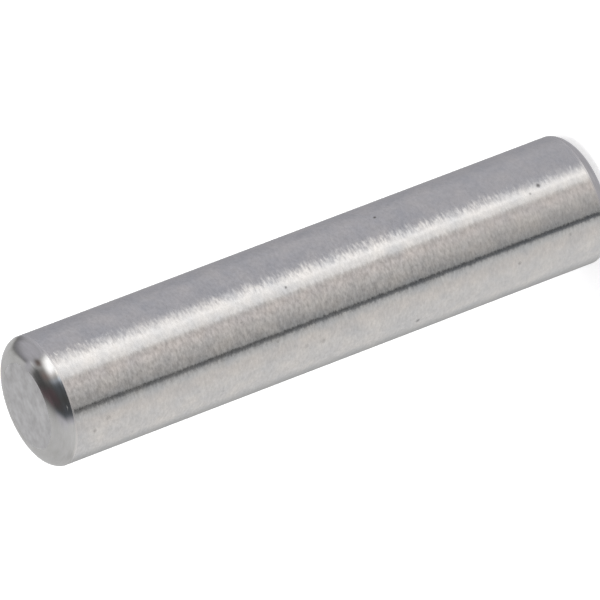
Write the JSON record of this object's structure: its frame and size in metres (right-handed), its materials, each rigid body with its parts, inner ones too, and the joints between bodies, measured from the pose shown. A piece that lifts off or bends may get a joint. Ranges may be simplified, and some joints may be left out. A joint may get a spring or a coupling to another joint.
{
  "type": "needle roller",
  "caption": "Plain cylindrical steel needle roller with a ground outer surface, flat end faces and rounded end corners.",
  "frame": {"origin": "centre of the lower end face, on which the roller stands", "axes": "+Z along the roller's axis, from the lower end face to the upper one; X and Y are any two directions across it, because the roller is round"},
  "size_m": [0.005, 0.005, 0.0238],
  "materials": {
    "bearing_steel": "hardened bearing steel: finely ground round the outer surface, polished on the rounded corners, dull on the end faces"
  },
  "bodies": {
    "root": {"roller": "bearing_steel"}
  },
  "joints": []
}
